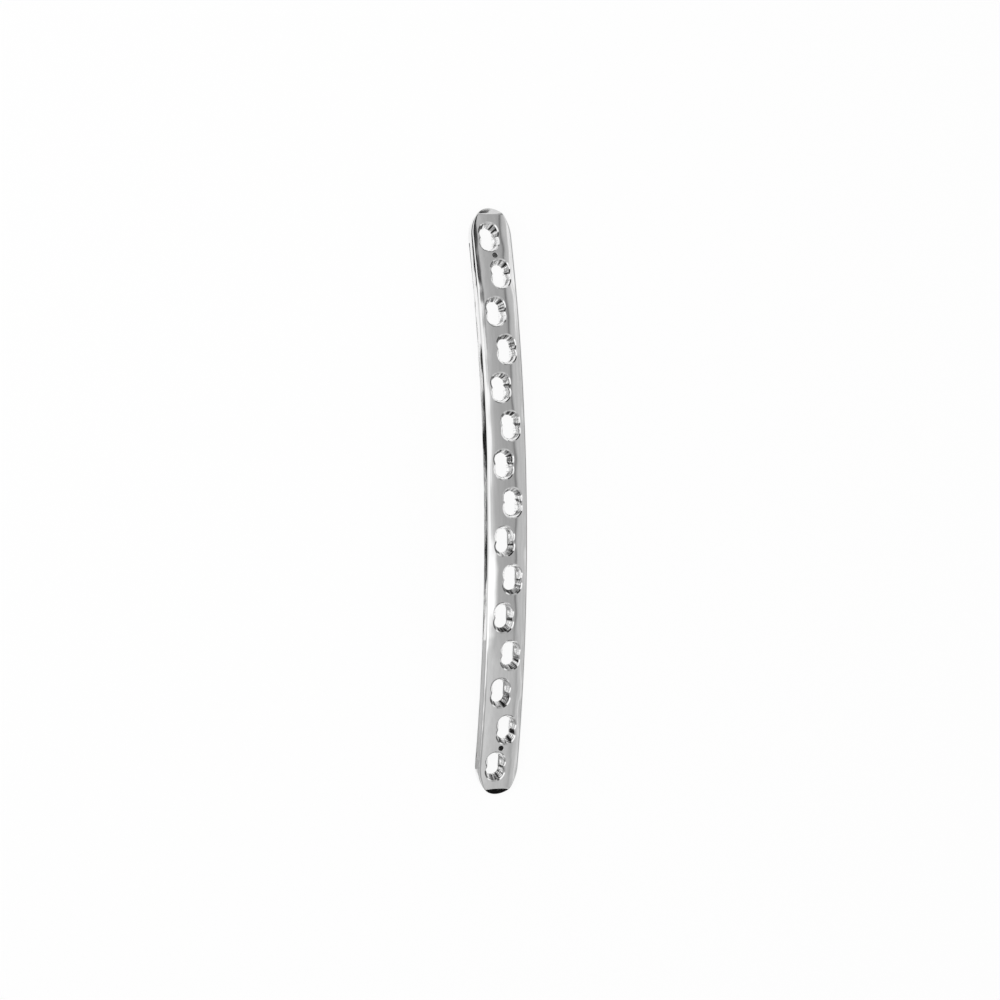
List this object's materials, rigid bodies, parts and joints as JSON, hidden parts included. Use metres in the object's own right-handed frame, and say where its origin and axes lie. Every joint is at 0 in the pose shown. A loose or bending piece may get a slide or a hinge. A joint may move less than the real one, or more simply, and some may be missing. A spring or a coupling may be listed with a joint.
{
  "type": "bowed compression bone plate",
  "caption": "Long bowed metal bone plate with rounded tips, staggered rows of two-lobed screw holes and a small wire hole near each end.",
  "frame": {"origin": "Centre of the bounding box in X and Y, at the level of the two tips that the plate rests on.", "axes": "+Z out of the convex face at the middle, +Y along the plate towards the tip that is at the top of the picture, +X across the plate to the right in the picture."},
  "size_m": [0.0176, 0.245, 0.0242],
  "materials": {
    "implant_steel": "polished implant steel with fine wiping marks"
  },
  "bodies": {
    "root": {"bone_plate": "implant_steel"}
  },
  "joints": []
}
